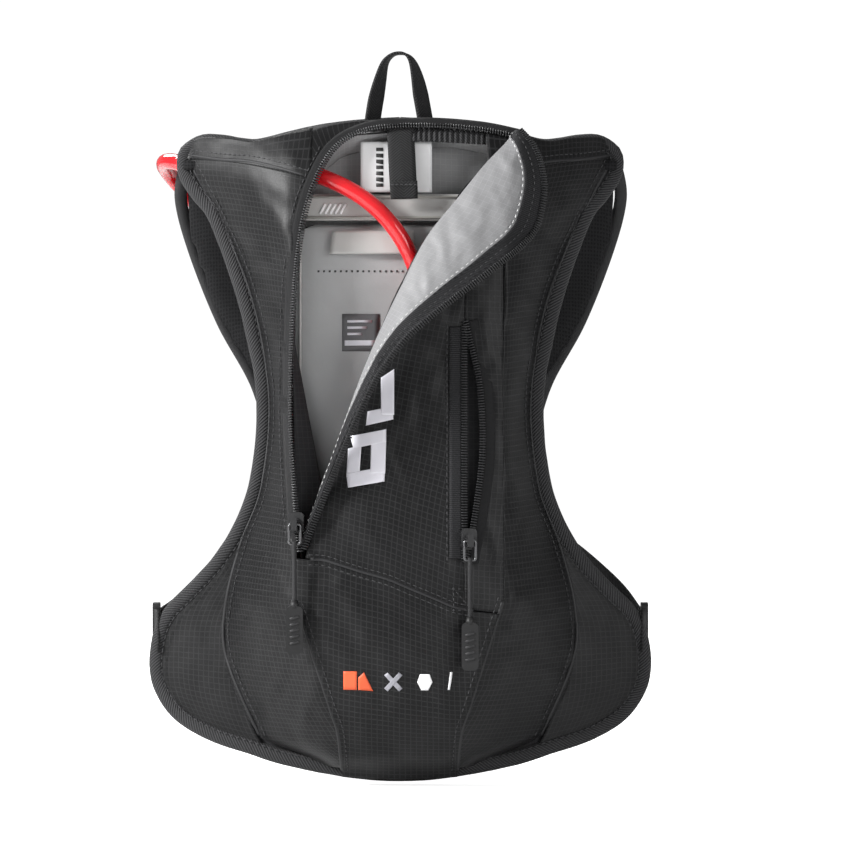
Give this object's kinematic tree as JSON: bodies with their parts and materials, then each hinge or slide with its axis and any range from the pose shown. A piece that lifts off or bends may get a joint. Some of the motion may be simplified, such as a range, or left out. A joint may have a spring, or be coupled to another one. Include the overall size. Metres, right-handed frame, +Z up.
{
  "type": "hydration pack",
  "caption": "Vest-style hydration pack with an open zipped front, translucent reservoir, drinking tube, harness straps and side-release chest buckle.",
  "frame": {"origin": "inside top of the hang loop", "axes": "+Z up, +X to the right of someone looking at the outer face, +Y toward the wearer"},
  "size_m": [0.291, 0.2447, 0.4186],
  "materials": {
    "shell_nylon": "coated ripstop weave",
    "air_mesh": "spacer mesh over foam",
    "webbing": "woven tape",
    "label": "satin",
    "reservoir_film": "clear polyurethane film",
    "moulded_plastic": "fine texture",
    "red_tube": "clear tinted tube",
    "valve_silicone": "silicone",
    "slider_metal": "black lacquer",
    "pull_cord": "braid"
  },
  "bodies": {
    "pack": {"back_panel": "air_mesh", "left_back_pad": "air_mesh", "right_back_pad": "air_mesh", "spine_pad": "air_mesh", "edge_binding": "webbing", "drink_tube_inner": "red_tube", "lower_front_panel": "shell_nylon", "front_panel": "shell_nylon", "top_band": "shell_nylon", "right_side_panel": "shell_nylon", "left_side_panel": "shell_nylon", "right_yoke": "shell_nylon", "left_yoke": "shell_nylon", "right_wing": "shell_nylon", "left_wing": "shell_nylon", "top_gusset": "shell_nylon", "main_zip_tape": "webbing", "pocket_left_tape": "webbing", "pocket_right_tape": "webbing", "pocket_bag": "shell_nylon", "hang_loop": "webbing", "bladder_hanger": "webbing", "size_label": "label", "bladder": "reservoir_film", "slide_closure": "moulded_plastic", "port_elbow": "moulded_plastic", "right_ladder_lock": "moulded_plastic", "left_ladder_lock": "moulded_plastic"},
    "flap": {"flap_panel": "shell_nylon", "flap_zip_tape": "webbing"},
    "left_harness": {"left_shoulder_strap": "air_mesh", "left_lower_strap": "webbing", "left_chest_plate": "moulded_plastic", "buckle_base": "moulded_plastic", "drink_tube_outer": "red_tube", "bite_valve_body": "moulded_plastic", "tube_clip": "moulded_plastic"},
    "right_harness": {"right_shoulder_strap": "air_mesh", "right_lower_strap": "webbing", "right_chest_plate": "moulded_plastic", "buckle_socket": "moulded_plastic"},
    "upper_prong": {"upper_prong": "moulded_plastic"},
    "lower_prong": {"lower_prong": "moulded_plastic"},
    "bite_valve": {"bite_valve_tip": "valve_silicone"},
    "main_slider": {"main_slider": "slider_metal"},
    "main_pull": {"main_bail": "slider_metal", "main_pull_cord": "pull_cord", "main_pull_grip": "moulded_plastic"},
    "pocket_slider": {"pocket_slider": "slider_metal"},
    "pocket_pull": {"pocket_bail": "slider_metal", "pocket_pull_cord": "pull_cord", "pocket_pull_grip": "moulded_plastic"}
  },
  "joints": [
    {"name": "flap_fold", "type": "hinge", "parent": "pack", "child": "flap", "pos_m": [-0.047, -0.0469, -0.256], "axis": [0.4587, 0.0606, 0.8865], "range_deg": [-150, 0]},
    {"name": "left_harness_swing", "type": "hinge", "parent": "pack", "child": "left_harness", "pos_m": [-0.143, 0.0465, -0.333], "axis": [0, 0, 1], "range_deg": [0, 55]},
    {"name": "right_harness_swing", "type": "hinge", "parent": "pack", "child": "right_harness", "pos_m": [0.143, 0.0465, -0.333], "axis": [0, 0, -1], "range_deg": [0, 55]},
    {"name": "upper_prong_squeeze", "type": "hinge", "parent": "left_harness", "child": "upper_prong", "pos_m": [-0.0265, 0.142, -0.262], "axis": [0, 1, 0], "range_deg": [0, 7], "stiffness_Nm_per_rad": 0.2},
    {"name": "lower_prong_squeeze", "type": "hinge", "parent": "left_harness", "child": "lower_prong", "pos_m": [-0.0265, 0.142, -0.286], "axis": [0, -1, 0], "range_deg": [0, 7], "stiffness_Nm_per_rad": 0.2},
    {"name": "bite_valve_twist", "type": "hinge", "parent": "left_harness", "child": "bite_valve", "pos_m": [-0.083, 0.149, -0.264], "axis": [-0.1731, 0.0866, -0.9811], "range_deg": [0, 90]},
    {"name": "main_zip_travel", "type": "slide", "parent": "pack", "child": "main_slider", "axis": [0, 0.0648, 0.9979], "range_m": [0, 0.115]},
    {"name": "main_pull_swing", "type": "hinge", "parent": "main_slider", "child": "main_pull", "pos_m": [-0.05909, -0.04763, -0.26875], "axis": [-1, 0, 0], "range_deg": [0, 150]},
    {"name": "pocket_zip_travel", "type": "slide", "parent": "pack", "child": "pocket_slider", "axis": [0, 0.067, 0.9977], "range_m": [0, 0.06]},
    {"name": "pocket_pull_swing", "type": "hinge", "parent": "pocket_slider", "child": "pocket_pull", "pos_m": [0.03973, -0.05223, -0.27774], "axis": [-1, 0, 0], "range_deg": [0, 110]}
  ],
  "couplings": [
    {"joint": "lower_prong_squeeze", "follows": "upper_prong_squeeze", "ratio": 1}
  ]
}
